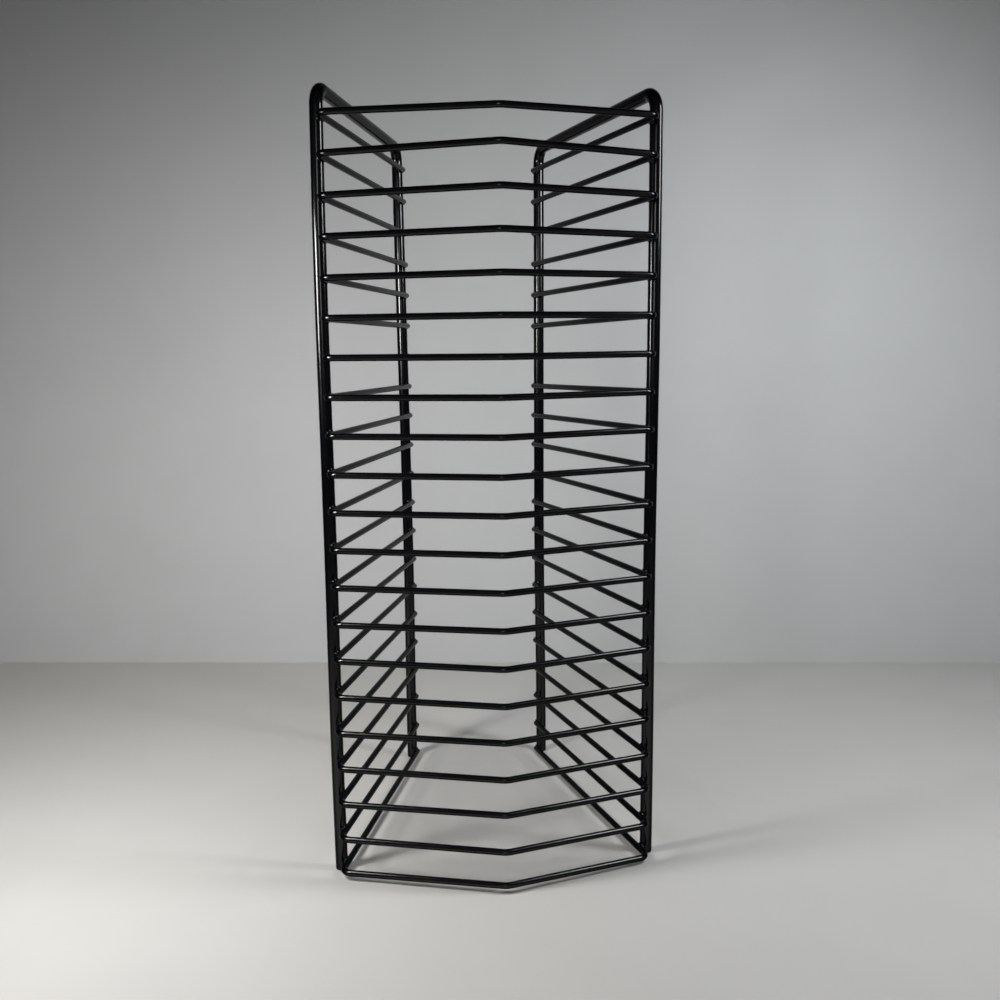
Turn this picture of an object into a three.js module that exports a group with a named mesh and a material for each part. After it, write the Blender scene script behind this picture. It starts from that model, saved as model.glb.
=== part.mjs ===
// A wire tower for disc cases. Two hoops of round bar stand side by side and draw together to the rear.
// Twenty-one bent shelf wires are welded inside them, one above the other, with twenty slots between.
// Each shelf wire's nose points to the front, which is -Y. Lengths are in millimetres and +Z is up.

import * as THREE from 'three';

// The cases: a slot between two shelf wires is one case high, with a little play
const CASE_THICKNESS = 14;
const CASE_PLAY = 0.35;
const SLOT_COUNT = 20;

// The side hoops, from centre to centre of their round bar
const POST_DIAMETER = 6.1;
const FRONT_POST_SPACING = 153;
const REAR_POST_SPACING = 81;
const POST_DEPTH = 134;
const HOOP_RISE = 12.5;
const HOOP_BEND_RADIUS = 8.5;

// The shelf wires. The bottom one clears the floor, and a small gap keeps each wire off its posts
const SHELF_WIRE_DIAMETER = 3.15;
const FLOOR_CLEARANCE = 1.6;
const WELD_GAP = 0.3;
const STUB_LENGTH = 1;

// Both reaches end where two straight runs would meet. The corner's starts at the front weld, and the
// nose's between the front posts
const CORNER_REACH = 10.5;
const CORNER_BEND_RADIUS = 4;
const NOSE_REACH = 33;
const NOSE_BEND_RADIUS = 7;
const TOP_NOSE_DROP = 3;

// How finely the round surfaces are faceted
const POST_SIDES = 16;
const SHELF_WIRE_SIDES = 10;
const BEND_STEP = THREE.MathUtils.degToRad(15);

// What follows from the sizes above
const SHELF_PITCH = CASE_THICKNESS + CASE_PLAY + SHELF_WIRE_DIAMETER;
const BOTTOM_WIRE_HEIGHT = FLOOR_CLEARANCE + SHELF_WIRE_DIAMETER / 2;
const TOP_WIRE_HEIGHT = BOTTOM_WIRE_HEIGHT + SLOT_COUNT * SHELF_PITCH;
const HOOP_TOP_HEIGHT = TOP_WIRE_HEIGHT + HOOP_RISE;
const WELD_OFFSET = (POST_DIAMETER + SHELF_WIRE_DIAMETER) / 2 + WELD_GAP;

const BLACK_COAT = { color: 0x0b0c0e, roughness: 0.32, metalness: 0 };

/**
 * The centre line of a bent bar: straight runs joined by round bends.
 * Each corner has its place, and all but the first and last have a bend radius.
 * Sections lie only at the ends and around the bends, because a straight run needs none between.
 */
class BentLine extends THREE.Curve {
  constructor(corners) {
    super();
    this.sections = corners.flatMap((corner, index) => {
      const before = corners[index - 1];
      const after = corners[index + 1];
      if (before && after) return BentLine.bend(before.place, corner, after.place);
      const tangent = before
        ? corner.place.clone().sub(before.place).normalize()
        : after.place.clone().sub(corner.place).normalize();
      return [{ place: corner.place, tangent }];
    });
  }

  // The sections around one bend: an arc that leaves the first run and meets the second at a tangent
  static bend(before, corner, after) {
    const incoming = corner.place.clone().sub(before).normalize();
    const outgoing = after.clone().sub(corner.place).normalize();
    const turn = incoming.angleTo(outgoing);
    const inward = outgoing.clone().addScaledVector(incoming, -incoming.dot(outgoing)).normalize();
    const centre = corner.place.clone()
      .addScaledVector(incoming, -corner.radius * Math.tan(turn / 2))
      .addScaledVector(inward, corner.radius);
    const steps = Math.ceil(turn / BEND_STEP);
    return Array.from({ length: steps + 1 }, (_, step) => {
      const angle = turn * step / steps;
      const place = centre.clone()
        .addScaledVector(inward, -corner.radius * Math.cos(angle))
        .addScaledVector(incoming, corner.radius * Math.sin(angle));
      const tangent = incoming.clone()
        .multiplyScalar(Math.cos(angle))
        .addScaledVector(inward, Math.sin(angle));
      return { place, tangent };
    });
  }

  get steps() {
    return this.sections.length - 1;
  }

  getPointAt(share, target = new THREE.Vector3()) {
    return target.copy(this.sections[Math.round(share * this.steps)].place);
  }

  getTangentAt(share, target = new THREE.Vector3()) {
    return target.copy(this.sections[Math.round(share * this.steps)].tangent);
  }
}

// A round bar's section, as a regular polygon whose corners lie on the bar's true circle
function roundSection(diameter, sides) {
  const corners = Array.from({ length: sides }, (_, index) => {
    const angle = 2 * Math.PI * index / sides;
    return new THREE.Vector2(Math.cos(angle), Math.sin(angle)).multiplyScalar(diameter / 2);
  });
  return new THREE.Shape(corners);
}

function bentBar(name, line, diameter, sides) {
  const section = roundSection(diameter, sides);
  const geometry = new THREE.ExtrudeGeometry(section, { extrudePath: line, steps: line.steps });
  const bar = new THREE.Mesh(geometry, new THREE.MeshStandardMaterial(BLACK_COAT));
  bar.name = name;
  return bar;
}

// One side's plan. The side is -1 on the left and 1 on the right, and the hoop runs forward and outward
function sidePlan(side) {
  const frontPost = new THREE.Vector2(side * FRONT_POST_SPACING / 2, 0);
  const rearPost = new THREE.Vector2(side * REAR_POST_SPACING / 2, POST_DEPTH);
  const forward = frontPost.clone().sub(rearPost).normalize();
  const inward = new THREE.Vector2(forward.y, -forward.x).multiplyScalar(side);
  return { frontPost, rearPost, forward, inward };
}

function atHeight(plan, height) {
  return new THREE.Vector3(plan.x, plan.y, height);
}

// A hoop: up the front post, back along the top and down the rear post, with both feet cut square
function hoopLine(side) {
  const { frontPost, rearPost } = sidePlan(side);
  return new BentLine([
    { place: atHeight(frontPost, 0) },
    { place: atHeight(frontPost, HOOP_TOP_HEIGHT), radius: HOOP_BEND_RADIUS },
    { place: atHeight(rearPost, HOOP_TOP_HEIGHT), radius: HOOP_BEND_RADIUS },
    { place: atHeight(rearPost, 0) },
  ]);
}

// A shelf wire: its side runs pass the inner faces of the posts and end in short stubs past the rear welds.
// The drop lowers the nose's point alone.
function shelfLine(height, noseDrop) {
  const [left, right] = [-1, 1].map((side) => {
    const { frontPost, rearPost, forward, inward } = sidePlan(side);
    const frontWeld = frontPost.clone().addScaledVector(inward, WELD_OFFSET);
    const rearWeld = rearPost.clone().addScaledVector(inward, WELD_OFFSET);
    return {
      stub: atHeight(rearWeld.addScaledVector(forward, -STUB_LENGTH), height),
      corner: atHeight(frontWeld.addScaledVector(forward, CORNER_REACH), height),
    };
  });
  const nose = new THREE.Vector3(0, -NOSE_REACH, height - noseDrop);
  return new BentLine([
    { place: left.stub },
    { place: left.corner, radius: CORNER_BEND_RADIUS },
    { place: nose, radius: NOSE_BEND_RADIUS },
    { place: right.corner, radius: CORNER_BEND_RADIUS },
    { place: right.stub },
  ]);
}

const tower = new THREE.Group();

for (const [name, side] of [['side_hoop_left', -1], ['side_hoop_right', 1]]) {
  tower.add(bentBar(name, hoopLine(side), POST_DIAMETER, POST_SIDES));
}

// Shelf wires are numbered from the top, and only the top one's nose is bent down a little
for (let index = 0; index <= SLOT_COUNT; index += 1) {
  const name = `shelf_wire_${String(index + 1).padStart(2, '0')}`;
  const height = TOP_WIRE_HEIGHT - index * SHELF_PITCH;
  const noseDrop = index === 0 ? TOP_NOSE_DROP : 0;
  tower.add(bentBar(name, shelfLine(height, noseDrop), SHELF_WIRE_DIAMETER, SHELF_WIRE_SIDES));
}

// The origin is on the floor, below the middle of the tower's bounding box
const bounds = new THREE.Box3().setFromObject(tower);
tower.position.y = -(bounds.min.y + bounds.max.y) / 2;

export default tower;
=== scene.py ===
# %% [markdown]
# # A wire tower for disc cases
# The real object is a welded rack of black coated steel wire, about 37 cm high. Two hoops of thick round
# bar stand side by side and draw together to the rear. Twenty-one thinner wires are bent into open
# trapezoids with a blunt nose and welded inside the hoops, and each pair of them makes a slot for a case.
# The solid model already holds every bar as a coarse, flat-sided solid at its true place. This lesson
# loads it as a fixed frame and puts a smooth, finely made bar over each solid one.

# %% Load the solid model
import math
import bmesh
import bpy
from mathutils import Matrix, Quaternion, Vector


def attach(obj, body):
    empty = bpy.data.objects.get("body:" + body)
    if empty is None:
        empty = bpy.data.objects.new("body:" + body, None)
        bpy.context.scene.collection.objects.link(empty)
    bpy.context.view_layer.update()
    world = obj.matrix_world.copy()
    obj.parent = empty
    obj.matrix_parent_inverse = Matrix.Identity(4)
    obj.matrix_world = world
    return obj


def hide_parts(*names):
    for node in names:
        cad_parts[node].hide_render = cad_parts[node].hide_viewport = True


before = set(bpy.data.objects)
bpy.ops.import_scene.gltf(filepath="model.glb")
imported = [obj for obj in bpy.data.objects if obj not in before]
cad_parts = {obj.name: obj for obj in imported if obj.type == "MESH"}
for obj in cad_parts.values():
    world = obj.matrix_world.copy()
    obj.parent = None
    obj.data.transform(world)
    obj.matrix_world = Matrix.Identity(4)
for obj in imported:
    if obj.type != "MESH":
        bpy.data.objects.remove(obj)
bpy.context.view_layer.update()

print("solids:", len(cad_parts))

# %% [markdown]
# ## Lengths
# Blender counts in metres, but a wire rack is easier to think of in millimetres. So each length below is
# written in millimetres, and one value turns it into metres where a mesh is made.

# %% Millimetres
MM = 0.001

# %% [markdown]
# ## The camera
# The picture was taken from half a metre in front, a little to the left and at two thirds of the tower's
# height, looking slightly down. A camera can be placed by eye, but its pose shows in every crossing of the
# wires, so it's written here as three turns: to the right, down, and a trace of roll. The turns become the
# camera's three axes, which are the columns of its rotation matrix.

# %% Camera
IMAGE_PIXELS = 1000
FOCAL_PIXELS = 996.8
SENSOR_WIDTH = 36.0
CAMERA_PLACE = Vector((-40.5, -514.5, 249.5))
CAMERA_YAW, CAMERA_PITCH, CAMERA_ROLL = 0.0949, -0.1469, 0.0091  # in radians

ahead = Vector((math.sin(CAMERA_YAW) * math.cos(CAMERA_PITCH),
                math.cos(CAMERA_YAW) * math.cos(CAMERA_PITCH),
                math.sin(CAMERA_PITCH)))
level_right = Vector((math.cos(CAMERA_YAW), -math.sin(CAMERA_YAW), 0))
level_down = ahead.cross(level_right)
right = math.cos(CAMERA_ROLL) * level_right + math.sin(CAMERA_ROLL) * level_down
down = -math.sin(CAMERA_ROLL) * level_right + math.cos(CAMERA_ROLL) * level_down

camera = bpy.data.objects.new("camera", bpy.data.cameras.new("camera"))
bpy.context.collection.objects.link(camera)
camera.data.sensor_width = SENSOR_WIDTH
camera.data.lens = FOCAL_PIXELS / IMAGE_PIXELS * SENSOR_WIDTH
camera.matrix_world = (Matrix.Translation(CAMERA_PLACE * MM)
                       @ Matrix((right, -down, -ahead)).transposed().to_4x4())
bpy.context.scene.camera = camera
print("lens", round(camera.data.lens, 2), "mm")

# %% [markdown]
# ## Colours and nodes
# A colour is written as the hex number that a picture editor shows. Blender's shaders count in linear
# light, so one function turns the one into the other. A second small function adds a node, sets its
# values and links its sockets, which keeps each material readable as a list of steps.

# %% Colour and node helpers
def linear(hex_colour):
    """An sRGB hex colour as linear red, green, blue and alpha, by the standard's own curve."""
    shares = [int(hex_colour[i:i + 2], 16) / 255 for i in (1, 3, 5)]
    return [s / 12.92 if s <= 0.04045 else ((s + 0.055) / 1.055) ** 2.4 for s in shares] + [1.0]


def add_node(tree, kind, settings=None, **sockets):
    """Adds a node. A socket is named, or numbered after _, and takes a value or an output to link to."""
    node = tree.nodes.new("ShaderNode" + kind)
    for name, value in (settings or {}).items():
        setattr(node, name, value)
    for name, value in sockets.items():
        key = int(name[1:]) if name[1:].isdigit() else name.replace("_", " ")
        if isinstance(value, bpy.types.NodeSocket):
            tree.links.new(value, node.inputs[key])
        else:
            node.inputs[key].default_value = value
    return node


def new_material(name):
    """An empty node material, and its tree."""
    material = bpy.data.materials.new(name)
    material.use_nodes = True
    material.node_tree.nodes.clear()
    return material, material.node_tree

# %% [markdown]
# ## The finish: black powder coat on steel
# Racks like this are welded bare, then dusted with epoxy powder and baked. The powder melts into one even
# skin of about 0.1 mm, which hides the metal and softens every edge. It's a plastic, so it isn't
# metallic: its black comes from carbon in the resin, and its shine from a smooth but not quite flat
# surface. As it flows it leaves gentle waves, called orange peel, a millimetre or two long. They make a
# lamp's reflection tremble a little along the bar. The finish could be one flat black, but then a close
# look would show plastic tubing, so the waves, a slow change of gloss and a trace of settled dust are
# added. Seen at a glancing angle, the resin's fine grain stands in its own way and breaks up what the
# coat mirrors. So the mirror level falls there, and on the thin wire further than on the thick bar.

# %% Colours, sizes and gloss of the coat
COAT_BLACK = "#000103"
COAT_WORN_BLACK = "#020305"
DUST_GREY = "#1c1b1a"
DUST_SLOPE = 0.55  # dust settles where the surface faces up more than this
DUST_COVER = 0.12
PEEL_WAVE = 1.7
PEEL_HEIGHT = 0.013
PEEL_NOISE = {"Detail": 1.5, "Roughness": 0.4}
GLOSS_PATCH = 14.0
GLOSS_SPREAD = 0.03
PATCH_RANGE = (0.3, 0.7)  # the patch noise between these values moves the gloss over its whole spread
PATCH_NOISE = {"Detail": 3.0, "Roughness": 0.55}
GRAIN = 0.45  # the resin's real grain is near 0.05 mm, drawn coarser so that it shows at all
GRAIN_HEIGHT = 0.003
GRAIN_NOISE = {"Detail": 2.0, "Roughness": 0.6}
RESIN_IOR = 1.5
HEAD_ON_LEVEL = 0.44
GLANCE_RANGE = (0.13, 0.35)  # where the mirror level falls, from 0 seen head-on to 1 at the bar's edge
print("orange peel:", PEEL_WAVE, "mm long and", PEEL_HEIGHT, "mm high")

# %% Powder coat
def powder_coat(name, peel_wave, roughness, glancing_level):
    """The coat's material. Its mirror level falls from head-on to the glancing one round the bar."""
    material, tree = new_material(name)
    place = add_node(tree, "TexCoord").outputs["Object"]
    peel = add_node(tree, "TexNoise", Vector=place, Scale=1 / (peel_wave * MM), **PEEL_NOISE)
    grain = add_node(tree, "TexNoise", Vector=place, Scale=1 / (GRAIN * MM), **GRAIN_NOISE)
    patch = add_node(tree, "TexNoise", Vector=place, Scale=1 / (GLOSS_PATCH * MM), **PATCH_NOISE)
    tone = add_node(tree, "MixRGB", Fac=patch.outputs["Fac"],
                    Color1=linear(COAT_BLACK), Color2=linear(COAT_WORN_BLACK))
    facing = add_node(tree, "SeparateXYZ", Vector=add_node(tree, "NewGeometry").outputs["Normal"])
    upward = add_node(tree, "MapRange", Value=facing.outputs["Z"],
                      From_Min=DUST_SLOPE, From_Max=1.0, To_Min=0.0, To_Max=DUST_COVER)
    dusty = add_node(tree, "Math", {"operation": "MULTIPLY"}, _0=upward.outputs["Result"],
                     _1=grain.outputs["Fac"])
    colour = add_node(tree, "MixRGB", Fac=dusty.outputs["Value"], Color1=tone.outputs["Color"],
                      Color2=linear(DUST_GREY))
    gloss = add_node(tree, "MapRange", Value=patch.outputs["Fac"],
                     From_Min=PATCH_RANGE[0], From_Max=PATCH_RANGE[1],
                     To_Min=roughness - GLOSS_SPREAD, To_Max=roughness + GLOSS_SPREAD)
    glance = add_node(tree, "LayerWeight", Blend=0.5).outputs["Facing"]
    mirror = add_node(tree, "MapRange", Value=glance,
                      From_Min=GLANCE_RANGE[0], From_Max=GLANCE_RANGE[1],
                      To_Min=HEAD_ON_LEVEL, To_Max=glancing_level)
    waves = add_node(tree, "Bump", Height=peel.outputs["Fac"], Strength=1.0, Distance=PEEL_HEIGHT * MM)
    surface = add_node(tree, "Bump", Height=grain.outputs["Fac"], Strength=1.0,
                       Distance=GRAIN_HEIGHT * MM, Normal=waves.outputs["Normal"])
    resin = add_node(tree, "BsdfPrincipled", Base_Color=colour.outputs["Color"],
                     Roughness=gloss.outputs["Result"], Normal=surface.outputs["Normal"],
                     Metallic=0.0, IOR=RESIN_IOR, Specular_IOR_Level=mirror.outputs["Result"])
    add_node(tree, "OutputMaterial", Surface=resin.outputs["BSDF"])
    return material

# %% The coat on the bar and on the wire
BAR_ROUGHNESS, BAR_GLANCING_LEVEL = 0.17, 0.045
WIRE_ROUGHNESS, WIRE_GLANCING_LEVEL = 0.20, 0.02
WIRE_PEEL_SHARE = 0.7  # the coat flows into shorter waves on the thinner wire

bar_coat = powder_coat("black_powder_coat_on_bar", PEEL_WAVE, BAR_ROUGHNESS, BAR_GLANCING_LEVEL)
wire_coat = powder_coat("black_powder_coat_on_wire", PEEL_WAVE * WIRE_PEEL_SHARE,
                        WIRE_ROUGHNESS, WIRE_GLANCING_LEVEL)
print("coats:", bar_coat.name, wire_coat.name)

# %% [markdown]
# ## A bent bar's centre line
# A wire is bent over a round former, so its centre line is straight runs joined by arcs that meet them at
# a tangent. It could be drawn as a Bezier curve, but then the bend's radius is only a guess at handle
# lengths. Here each arc is worked out: it leaves the first run at its radius times the tangent of half
# the turn, and sections are laid every few degrees round it.

# %% Bend line
BEND_STEP = math.radians(3)


def bend_line(corners):
    """Sections (place, direction) along straight runs with round bends, from (place, bend radius)."""
    sections = [(corners[0][0], (corners[1][0] - corners[0][0]).normalized())]
    for (before, _), (corner, radius), (after, _) in zip(corners, corners[1:], corners[2:]):
        incoming = (corner - before).normalized()
        outgoing = (after - corner).normalized()
        turn = incoming.angle(outgoing)
        inward = (outgoing - incoming * incoming.dot(outgoing)).normalized()
        centre = corner - incoming * radius * math.tan(turn / 2) + inward * radius
        steps = math.ceil(turn / BEND_STEP)
        for step in range(steps + 1):
            angle = turn * step / steps
            place = centre - inward * radius * math.cos(angle) + incoming * radius * math.sin(angle)
            sections.append((place, incoming * math.cos(angle) + inward * math.sin(angle)))
    sections.append((corners[-1][0], (corners[-1][0] - corners[-2][0]).normalized()))
    return sections

# %% [markdown]
# ## Sweeping the round bar
# A curve object with a round bevel would give the same tube, but its cut ends would be sharp. A real bar
# is sheared to length and the melted coat rounds the cut's edge. So the sweep is done by hand: one ring
# of points at each section, turned no more than the line itself turns, and at both ends a few rings that
# shrink along a quarter circle before a flat cap closes them.

# %% Sweep
EDGE_STEPS = 4


def sweep(mesh, sections, radius, edge, sides):
    """Adds a closed round bar along the sections to a bmesh, with its end edges rounded."""
    quarter = [math.pi / 2 * step / EDGE_STEPS for step in range(EDGE_STEPS + 1)]
    start, heading = sections[0]
    finish, leaving = sections[-1]
    rings = [(start + heading * edge * (1 - math.cos(a)), heading, radius - edge * (1 - math.sin(a)))
             for a in quarter]
    rings += [(place, direction, radius) for place, direction in sections[1:-1]]
    rings += [(finish - leaving * edge * (1 - math.cos(a)), leaving, radius - edge * (1 - math.sin(a)))
              for a in reversed(quarter)]
    side = heading.orthogonal().normalized()
    last = heading
    loops = []
    for place, direction, reach in rings:
        side = last.rotation_difference(direction) @ side
        other = direction.cross(side)
        last = direction
        loops.append([mesh.verts.new((place + reach * (side * math.cos(a) + other * math.sin(a))) * MM)
                      for a in (2 * math.pi * k / sides for k in range(sides))])
    for loop, following in zip(loops, loops[1:]):
        for k in range(sides):
            face = mesh.faces.new((loop[k], loop[(k + 1) % sides],
                                   following[(k + 1) % sides], following[k]))
            face.smooth = True
    mesh.faces.new(reversed(loops[0]))
    mesh.faces.new(loops[-1])

# %% [markdown]
# ## From mesh to piece
# Each finished mesh becomes one object. It takes the coat, rides on the tower's only body, and stands in
# for its solid, which stays hidden for the physics.

# %% Make a piece
def make_piece(name, mesh, coat, node):
    """Turns a finished mesh into a piece that stands in for a solid."""
    bmesh.ops.recalc_face_normals(mesh, faces=mesh.faces)
    data = bpy.data.meshes.new(name)
    mesh.to_mesh(data)
    mesh.free()
    piece = bpy.data.objects.new(name, data)
    bpy.context.collection.objects.link(piece)
    data.materials.append(coat)
    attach(piece, "root")
    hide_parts(node)
    return piece

# %% [markdown]
# ## The side hoops
# Each hoop is one length of 6 mm bar, bent twice to an upside-down U. One leg is a front post and the
# other a rear post, and seen from above the hoop slants, so that the rear posts stand closer together
# than the front ones. Bar comes off a coil and is only rolled nearly straight, and the heat of 84 welds
# pulls at it, so each post bows to one side or the other by a few tenths of a millimetre. A dead straight
# post would be less work, but its highlight is too perfect a line.

# %% Hoop sizes
BAR_DIAMETER = 6.0
FRONT_SPACING = 152.4
REAR_SPACING = 81.0
FRONT_Y = -51.42
POST_DEPTH = 134.0
REAR_Y = FRONT_Y + POST_DEPTH
HOOP_TOP = 365.675
HOOP_BEND = 8.5
FOOT_EDGE = 0.7
BAR_SIDES = 40
SIDES = (("left", -1), ("right", 1))
BOW_STEP = 52.0
BOWS = {  # the front and the rear post's sideways offsets, from the floor up, one step apart
    "left": ((0.3, -0.1, -0.1, 0.0, -0.1, -0.3, -0.2, 0.3),
             (0.3, 0.4, 0.7, 0.6, 0.3, -0.1, -0.5, -0.9)),
    "right": ((-0.4, -0.3, -0.4, -0.4, -0.1, 0.2, 0.2, 0.1),
              (0.6, 0.4, -0.1, -0.3, -0.2, -0.1, 0.1, 0.1)),
}

# %% Posts that bow a little
def bow(offsets, height):
    """A post's sideways offset at a height, on a smooth curve through offsets one step apart."""
    index = min(int(height / BOW_STEP), len(offsets) - 2)
    share = height / BOW_STEP - index
    padded = (offsets[0], *offsets, offsets[-1])
    before, low, high, after = padded[index:index + 4]
    return low + share * ((high - before) / 2
                          + share * ((2 * before - 5 * low + 4 * high - after)
                                     + share * (3 * low - before - 3 * high + after)) / 2)


def post_places(word, side, height):
    """The front and the rear post's axis at a height."""
    front_bow, rear_bow = (bow(offsets, height) for offsets in BOWS[word])
    return (Vector((side * FRONT_SPACING / 2 + front_bow, FRONT_Y, height)),
            Vector((side * REAR_SPACING / 2 + rear_bow, REAR_Y, height)))


print("front left post at mid height:", [round(v, 2) for v in post_places("left", -1, HOOP_TOP / 2)[0]])

# %% Build the hoops
RUN_STEP = 10.0


def fill_runs(sections):
    """Adds sections along the straight runs, so that they can bow."""
    filled = [sections[0]]
    for place, direction in sections[1:]:
        start = filled[-1][0]
        steps = math.ceil((place - start).length / RUN_STEP)
        filled += [(start.lerp(place, step / steps), direction) for step in range(1, steps)]
        filled.append((place, direction))
    return filled


for word, side in SIDES:
    front = Vector((side * FRONT_SPACING / 2, FRONT_Y, 0))
    rear = Vector((side * REAR_SPACING / 2, REAR_Y, 0))
    top = Vector((0, 0, HOOP_TOP))
    line = bend_line([(front, 0), (front + top, HOOP_BEND), (rear + top, HOOP_BEND), (rear, 0)])
    bowed = []
    for place, direction in fill_runs(line):
        share = (place.y - FRONT_Y) / (REAR_Y - FRONT_Y)
        front_bow, rear_bow = (bow(offsets, place.z) for offsets in BOWS[word])
        bowed.append((place + Vector((front_bow + (rear_bow - front_bow) * share, 0, 0)), direction))
    mesh = bmesh.new()
    sweep(mesh, bowed, BAR_DIAMETER / 2, FOOT_EDGE, BAR_SIDES)
    hoop = make_piece(f"side_hoop_{word}_bar", mesh, bar_coat, f"side_hoop_{word}")
    print(hoop.name, len(hoop.data.polygons), "faces")
    print("size in mm", [round(v / MM, 1) for v in hoop.dimensions])

# %% [markdown]
# ## The welds
# The wires are pressed against the posts and welded by a strong current. The metal softens, and the wire
# sinks in a little, deeper at three of the posts than at the right front one. The coat then fills the
# crease with a small round fillet. A fillet between two crossing bars is the skin of a ball that rolls
# along the crease and touches both. Its centre stays at a fixed distance from both bars' axes, so it runs
# along a closed curve, and between its two touching points it leaves a short arc. A boolean with a bevel
# could make the same, but it's slow and fragile on 84 crossings, while this needs only sines and square
# roots.

# %% Weld fillet
WIRE_DIAMETER = 3.05
FRONT_WELD_SINKS = {"left": 1.25, "right": 0.25}
REAR_WELD_SINK = 1.2
FILLET_RADIUS = 0.6
FILLET_ROUND_STEPS = 32
FILLET_ARC_STEPS = 5
FILLET_ROOT = 0.25  # how far the fillet's edges reach into the bar and the wire
SMALL_ANGLE = 1e-4
TOUCHING = (BAR_DIAMETER + WIRE_DIAMETER) / 2
REAR_OFFSET = TOUCHING - REAR_WELD_SINK


def weld_fillet(mesh, place, inward, along, offset):
    """A closed ring of fillet where a wire passes a place on a post's axis. It ends at the floor."""
    bar, wire = BAR_DIAMETER / 2, WIRE_DIAMETER / 2
    upright = Vector((0, 0, 1))
    widest = math.acos((offset - wire - FILLET_RADIUS) / (bar + FILLET_RADIUS))
    loops = []
    for step in range(FILLET_ROUND_STEPS):
        turn = 2 * math.pi * step / FILLET_ROUND_STEPS
        angle = widest * math.sin(turn)
        away = (bar + FILLET_RADIUS) * math.cos(angle)
        rise = math.sqrt(max(0, (wire + FILLET_RADIUS) ** 2 - (away - offset) ** 2))
        rise = math.copysign(rise, math.cos(turn))
        ball = Vector((away, (bar + FILLET_RADIUS) * math.sin(angle), rise))
        to_post = Vector((-math.cos(angle), -math.sin(angle), 0))
        to_wire = Vector((offset - away, 0, -rise)).normalized()
        span = to_post.angle(to_wire)
        arc = [to_post.slerp(to_wire, k / FILLET_ARC_STEPS) if span > SMALL_ANGLE else to_post.copy()
               for k in range(FILLET_ARC_STEPS + 1)]
        points = [ball + direction * FILLET_RADIUS for direction in arc]
        points = [points[0] + to_post * FILLET_ROOT] + points + [points[-1] + to_wire * FILLET_ROOT]
        skin = [place + inward * p.x + along * p.y + upright * p.z for p in points]
        loops.append([mesh.verts.new(Vector((p.x, p.y, max(0, p.z))) * MM) for p in skin])
    count = len(loops[0])
    for index, loop in enumerate(loops):
        following = loops[(index + 1) % FILLET_ROUND_STEPS]
        for k in range(count):
            face = mesh.faces.new((loop[k], loop[(k + 1) % count],
                                   following[(k + 1) % count], following[k]))
            face.smooth = True

# %% [markdown]
# ## The shelf wires
# Each shelf wire runs from a stub behind the left rear post, along the inner faces of both left posts,
# round a tight corner, out to a blunt nose in front, and back the same way on the right. They are set
# into the welder one by one, so no two lie quite alike: each has its own small error of height at the
# nose, at both corners and at both stubs, mostly under a millimetre. Perfectly even wires are easier, but
# the eye takes them for a drawing.

# %% Shelf wire sizes
SLOT_COUNT = 20
WIRE_PITCH = 17.5
BOTTOM_WIRE = 3.175
CORNER_REACH = 10.5
CORNER_BEND = 5.0
NOSE_REACH = 32.9
NOSE_BEND = 7.0
NOSE_ASIDE = 2.3
STUB_LENGTH = 1.0
STUB_EDGE = 0.9
WIRE_SIDES = 24
HEIGHT_ERRORS = [  # at the nose, the left corner, the right corner, the left stub and the right stub
    (-1.8, -0.8, -0.3, 0.6, 0.7), (1.3, -0.5, 0.3, 0.3, 0.5), (0.8, -0.6, 0.4, 0.0, 0.2),
    (0.6, -0.5, 0.3, -0.2, 0.1), (0.1, -0.6, 0.3, -0.3, -0.3), (-0.3, -0.5, 0.1, -0.3, -0.9),
    (-0.5, -0.4, 0.1, -0.4, -1.1), (-0.5, -0.5, 0.2, -0.5, -1.1), (-0.3, -0.3, 0.3, -0.2, -1.2),
    (-0.3, -0.3, 0.4, -0.1, -1.1), (0.0, -0.1, 0.4, 0.0, -0.9), (0.0, 0.0, 0.6, 0.1, -1.1),
    (0.2, 0.1, 0.5, 0.3, -0.9), (0.3, 0.1, 0.5, 0.3, -0.9), (0.1, 0.3, 0.6, 1.0, -0.6),
    (0.1, 0.3, 0.3, 1.0, -0.5), (0.3, 0.1, 0.1, 0.8, -0.9), (0.1, 0.2, -0.4, 0.8, -1.2),
    (0.5, 0.1, -0.7, 0.9, -1.6), (-0.1, -0.1, -1.4, -0.3, -2.4), (0.9, 0.4, -0.5, 0.3, -1.5),
]

# %% Build the shelf wires
for index, (nose_error, *side_errors) in enumerate(HEIGHT_ERRORS):
    height = BOTTOM_WIRE + (SLOT_COUNT - index) * WIRE_PITCH
    mesh = bmesh.new()
    runs = []
    for (word, side), corner_error, stub_error in zip(SIDES, side_errors, side_errors[2:]):
        front, _ = post_places(word, side, height + corner_error)
        _, rear = post_places(word, side, height + stub_error)
        forward = (front - rear).normalized()
        inward = Vector((forward.y, -forward.x, 0)).normalized() * side
        front_offset = TOUCHING - FRONT_WELD_SINKS[word]
        runs.append((rear + inward * REAR_OFFSET - forward * STUB_LENGTH,
                     front + inward * front_offset + forward * CORNER_REACH))
        for place, offset in ((front, front_offset), (rear, REAR_OFFSET)):
            weld_fillet(mesh, place, inward, forward, offset)
    nose = Vector((NOSE_ASIDE, FRONT_Y - NOSE_REACH, height + nose_error))
    (left_stub, left_corner), (right_stub, right_corner) = runs
    line = bend_line([(left_stub, 0), (left_corner, CORNER_BEND), (nose, NOSE_BEND),
                      (right_corner, CORNER_BEND), (right_stub, 0)])
    sweep(mesh, line, WIRE_DIAMETER / 2, STUB_EDGE, WIRE_SIDES)
    node = f"shelf_wire_{index + 1:02d}"
    shelf = make_piece(node + "_bar", mesh, wire_coat, node)
print("shelf wires:", len(HEIGHT_ERRORS), "with", len(shelf.data.polygons), "faces each")

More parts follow.
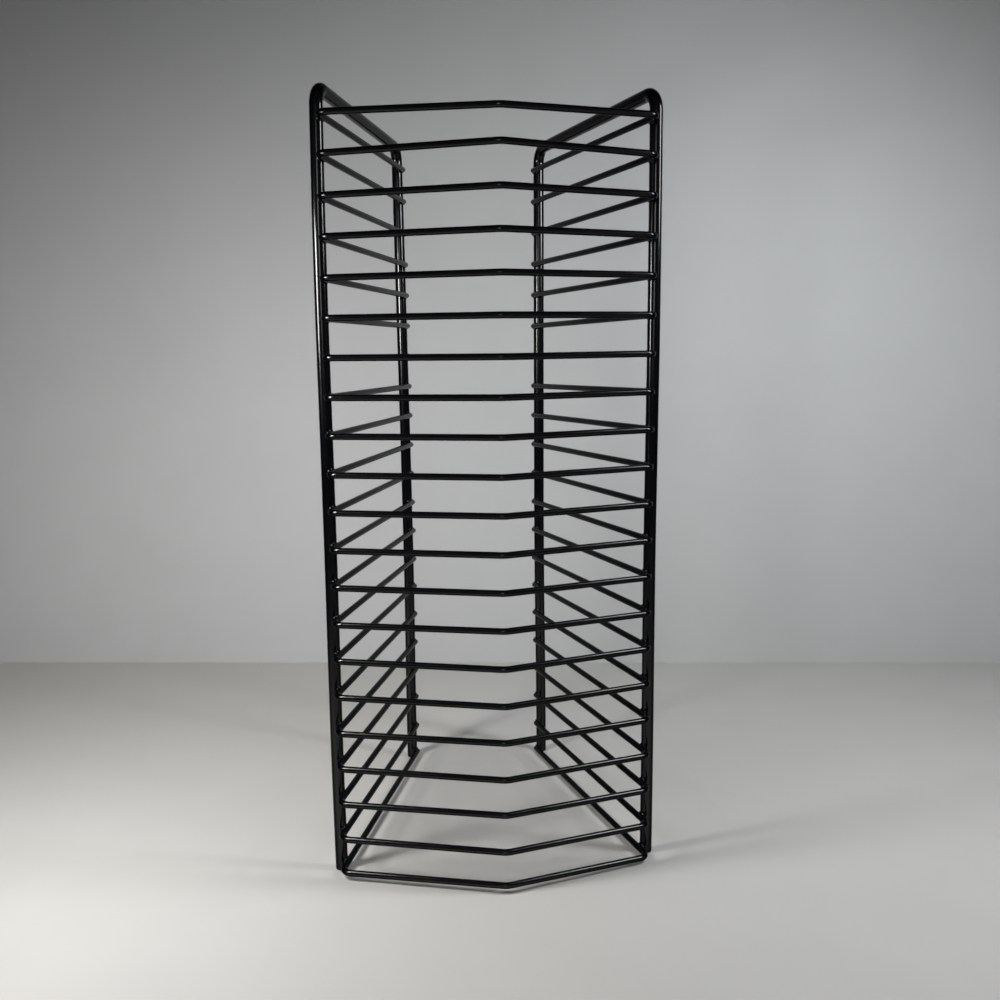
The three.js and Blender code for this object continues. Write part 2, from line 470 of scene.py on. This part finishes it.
# %% [markdown]
# ## The table and the wall
# The tower stands on a pale board with a pale wall a hand's width behind it. Both are plain and matt, so
# they need only a pale grey, a faint mottling of a few centimetres and a fine tooth. Each is a single
# sheet that only shows from the front. Seen from behind it lets the eye through, so the wall never hides
# the tower when the camera walks round it.

# %% Matt board
FLOOR_WHITE = "#bfbebb"
WALL_WHITE = "#c1c3c3"
MOTTLE = 45.0
MOTTLE_DETAIL = 3.0
DARK_SHARE = 0.93
TOOTH = 1.2
TOOTH_DETAIL = 2.0
TOOTH_HEIGHT = 0.05
TOOTH_STRENGTH = 0.3
BOARD_ROUGHNESS = 0.6
BOARD_IOR = 1.5


def matt_board(name, colour):
    """A plain matt material that the eye sees through from behind."""
    material, tree = new_material(name)
    geometry = add_node(tree, "NewGeometry")
    mottle = add_node(tree, "TexNoise", Vector=geometry.outputs["Position"], Scale=1 / (MOTTLE * MM),
                      Detail=MOTTLE_DETAIL)
    tooth = add_node(tree, "TexNoise", Vector=geometry.outputs["Position"], Scale=1 / (TOOTH * MM),
                     Detail=TOOTH_DETAIL)
    darker = [share * DARK_SHARE for share in linear(colour)[:3]] + [1.0]
    tone = add_node(tree, "MixRGB", Fac=mottle.outputs["Fac"], Color1=darker, Color2=linear(colour))
    rough = add_node(tree, "Bump", Height=tooth.outputs["Fac"], Strength=TOOTH_STRENGTH,
                     Distance=TOOTH_HEIGHT * MM)
    board = add_node(tree, "BsdfPrincipled", Base_Color=tone.outputs["Color"],
                     Roughness=BOARD_ROUGHNESS, IOR=BOARD_IOR, Normal=rough.outputs["Normal"])
    clear = add_node(tree, "BsdfTransparent")
    sheet = add_node(tree, "MixShader", _0=geometry.outputs["Backfacing"],
                     _1=board.outputs["BSDF"], _2=clear.outputs["BSDF"])
    add_node(tree, "OutputMaterial", Surface=sheet.outputs["Shader"])
    return material


def sheet(name, corners, material):
    """One flat sheet of the room, which isn't part of the tower."""
    data = bpy.data.meshes.new(name)
    data.from_pydata([corner * MM for corner in corners], [], [(0, 1, 2, 3)])
    data.materials.append(material)
    made = bpy.data.objects.new(name, data)
    bpy.context.collection.objects.link(made)
    return made

# %% Table and wall
FLOOR_REACH = 2500
WALL_HEIGHT = 2200
WALL_MIDDLE = Vector((32.9, 265, 0))
WALL_RIGHT = Vector((775.6, -97.5, 0)).normalized()  # it stands a little askew, nearer on the right

floor = sheet("table_board", [Vector((x * FLOOR_REACH, y * FLOOR_REACH, 0))
                              for x, y in ((-1, -1), (1, -1), (1, 1), (-1, 1))],
              matt_board("matt_white_board", FLOOR_WHITE))
wall_left = WALL_MIDDLE - WALL_RIGHT * FLOOR_REACH
wall_right = WALL_MIDDLE + WALL_RIGHT * FLOOR_REACH
wall_top = Vector((0, 0, WALL_HEIGHT))
wall = sheet("wall", [wall_left, wall_right, wall_right + wall_top, wall_left + wall_top],
             matt_board("matt_white_wall", WALL_WHITE))
print("stage:", floor.name, wall.name)

# %% [markdown]
# ## The light
# Black gloss has almost no colour of its own: what the eye reads is the bright shapes that it mirrors. A
# post shows a thin white line on each side, so a narrow soft lamp stands close by on the left and another
# on the right, both at about the height of the upper slots. Each is rolled about its own axis until its
# mirror image stands upright in the posts. A third, fainter one stands behind the camera and leaves a
# short glint in each wire's nose. The lamps hang low, which is why the table is brightest near them and
# the shadows are long. A broad panel far out on the right only lifts the wall. It's kept out of the
# gloss, because its image would turn the black bars grey. The room is a dim, even grey.

# %% Lamps and room
LAMPS = [  # name, place, target, roll in degrees, size, watts and colour
    ("lamp_left", (-250, -132, 287), (-165, 20, 20), -33, (55, 150), 1.32, "#fffdfb"),
    ("lamp_right", (315, -135, 395), (120, 60, 60), 20, (65, 185), 1.35, "#fafcff"),
    ("lamp_front", (-110, -795, 380), (0, 0, 150), 0, (130, 205), 0.45, "#ffffff"),
    ("fill_right", (900, -700, 300), (150, 200, 200), 0, (500, 500), 0.90, "#ffffff"),
]
ROOM_GREY = 0.06

for name, place, target, roll, size, watts, colour in LAMPS:
    light = bpy.data.lights.new(name, "AREA")
    light.shape = "RECTANGLE"
    light.size, light.size_y = size[0] * MM, size[1] * MM
    light.energy = watts
    light.color = linear(colour)[:3]
    lamp = bpy.data.objects.new(name, light)
    bpy.context.collection.objects.link(lamp)
    lamp.location = Vector(place) * MM
    aim = (Vector(target) - Vector(place)).to_track_quat("-Z", "Y")
    lamp.rotation_euler = (aim @ Quaternion((0, 0, 1), math.radians(roll))).to_euler()
    lamp.visible_camera = False
    lamp.visible_glossy = name.startswith("lamp")

world = bpy.data.worlds.new("dim_grey_room")
bpy.context.scene.world = world
world.use_nodes = True
world.node_tree.nodes["Background"].inputs["Color"].default_value = (ROOM_GREY, ROOM_GREY, ROOM_GREY, 1)
bpy.context.scene.view_settings.view_transform = "Standard"
print("lamps:", [lamp[0] for lamp in LAMPS])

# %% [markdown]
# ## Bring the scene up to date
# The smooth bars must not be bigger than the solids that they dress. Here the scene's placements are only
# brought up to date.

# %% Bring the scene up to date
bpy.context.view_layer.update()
